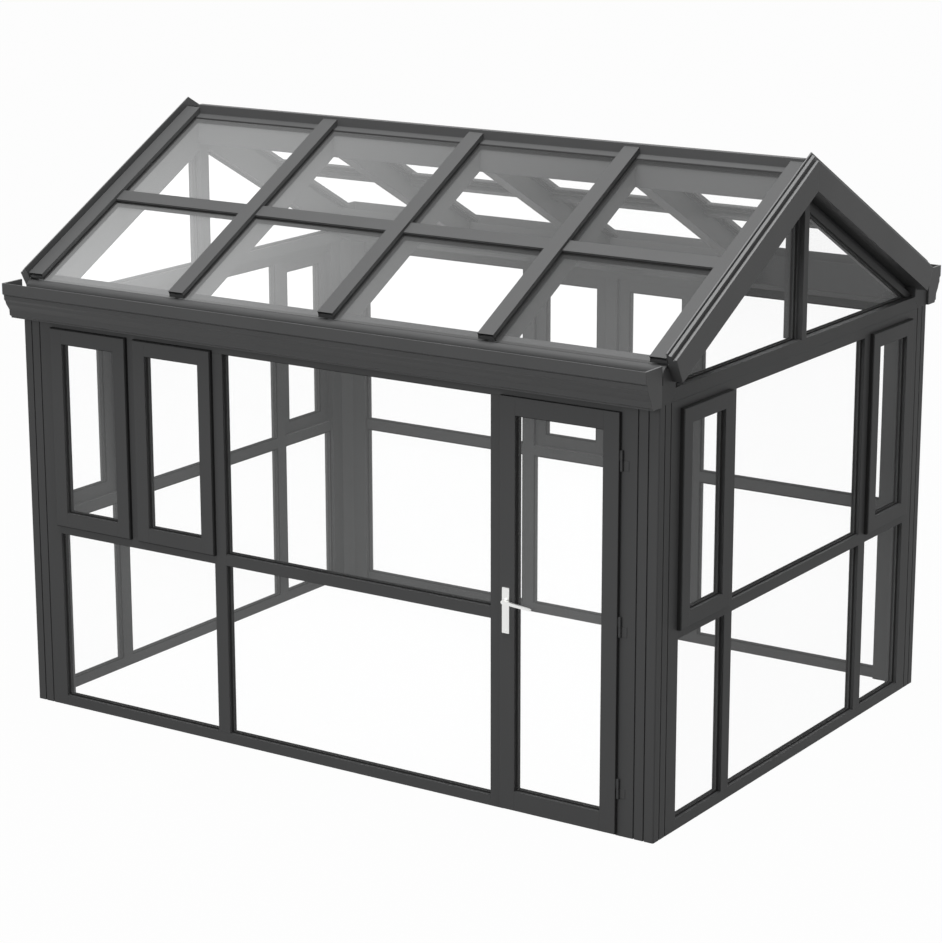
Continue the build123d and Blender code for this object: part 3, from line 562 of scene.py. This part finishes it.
# %% Light, world and floor
FLOOR_HALF, FLOOR_GREY, WHITE_SHARE, ROOM_LIGHT = 60.0, 0.2, 0.98, 0.3
floor_bm = bmesh.new()
bmesh.ops.create_grid(floor_bm, x_segments=1, y_segments=1, size=FLOOR_HALF)
floor_mesh = bpy.data.meshes.new("floor")
floor_bm.to_mesh(floor_mesh)
floor_bm.free()
floor = bpy.data.objects.new("floor", floor_mesh)
bpy.context.scene.collection.objects.link(floor)
white = Finish("floor_white")
path = white.tree.nodes.new("ShaderNodeLightPath")
seen = [Wire(white, path.outputs[f"Is {ray} Ray"]) for ray in ("Camera", "Glossy", "Transmission")]
matt = white.node("ShaderNodeBsdfDiffuse", {}, {"Color": [FLOOR_GREY] * 3 + [1]})
plain = white.node("ShaderNodeEmission", {}, {"Color": [1, 1, 1, 1], "Strength": 1.0})
seen_sum = white.node("ShaderNodeMath", {"operation": "MINIMUM"},
                      {0: seen[0] + seen[1] + seen[2], 1: 1.0})
white.end(white.node("ShaderNodeMixShader", {}, {0: seen_sum * WHITE_SHARE, 1: matt, 2: plain}))
floor_mesh.materials.append(white.material)

world = bpy.data.worlds.new("studio")
world.use_nodes = True
bpy.context.scene.world = world
tree = world.node_tree
tree.nodes.clear()
rays = tree.nodes.new("ShaderNodeLightPath")
room, backdrop = tree.nodes.new("ShaderNodeBackground"), tree.nodes.new("ShaderNodeBackground")
room.inputs["Strength"].default_value, backdrop.inputs["Strength"].default_value = ROOM_LIGHT, 1.0
room.inputs["Color"].default_value = backdrop.inputs["Color"].default_value = (1, 1, 1, 1)
pick, world_end = tree.nodes.new("ShaderNodeMixShader"), tree.nodes.new("ShaderNodeOutputWorld")
either = rays.outputs["Is Camera Ray"]
for ray in ("Glossy", "Transmission"):
    join = tree.nodes.new("ShaderNodeMath")
    join.operation = "MAXIMUM"
    tree.links.new(either, join.inputs[0])
    tree.links.new(rays.outputs[f"Is {ray} Ray"], join.inputs[1])
    either = join.outputs[0]
tree.links.new(either, pick.inputs[0])
tree.links.new(room.outputs[0], pick.inputs[1])
tree.links.new(backdrop.outputs[0], pick.inputs[2])
tree.links.new(pick.outputs[0], world_end.inputs["Surface"])
bpy.context.scene.view_settings.view_transform = "Standard"


def soft_box(name, place, aim, size, power):
    """A square area lamp at place, turned to aim."""
    lamp_data = bpy.data.lights.new(name, "AREA")
    lamp_data.size, lamp_data.energy = size, power
    lamp = bpy.data.objects.new(name, lamp_data)
    lamp.location = place
    lamp.rotation_euler = (Vector(aim) - Vector(place)).to_track_quat("-Z", "Y").to_euler()
    bpy.context.scene.collection.objects.link(lamp)


soft_box("overhead", (0.5, -1.5, 12.0), (0, 0, 1.5), 8.0, 1700.0)
soft_box("front_fill", (0.0, -14.0, 5.0), (0, 0, 1.5), 5.0, 740.0)
soft_box("right_fill", (12.0, -5.0, 4.0), (0, 0, 1.5), 5.0, 90.0)
print("light ready")
